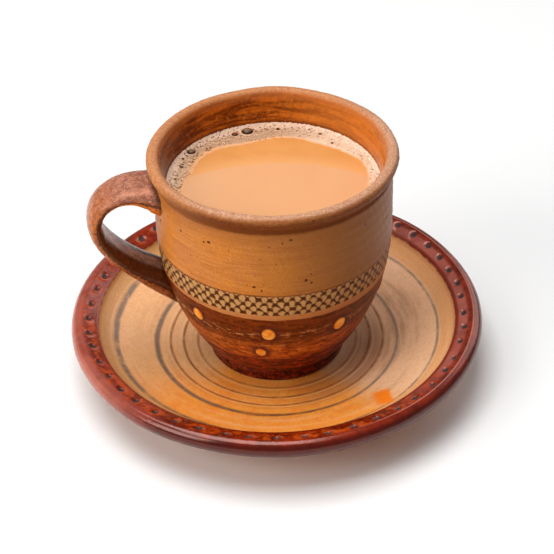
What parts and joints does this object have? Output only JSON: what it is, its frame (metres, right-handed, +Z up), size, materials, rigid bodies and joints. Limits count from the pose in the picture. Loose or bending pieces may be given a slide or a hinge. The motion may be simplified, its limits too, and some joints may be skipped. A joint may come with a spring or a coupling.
{
  "type": "cup of milk tea with saucer",
  "caption": "Handled stoneware cup filled with frothy spiced milk tea, standing on its round saucer, used as a served hot drink.",
  "frame": {"origin": "centre of the saucer on the surface that it stands on", "axes": "+Z up, -X along the cup's handle"},
  "size_m": [0.15, 0.15, 0.0896],
  "materials": {
    "saucer_glaze": "tan glaze, red-brown glossy rim",
    "cup_glaze": "tan glaze above, dark brown glaze below",
    "chai": "smooth milky liquid surface",
    "froth": "fine bubbly froth"
  },
  "bodies": {
    "root": {"saucer": "saucer_glaze", "cup": "cup_glaze", "chai": "chai", "froth": "froth"}
  },
  "joints": []
}
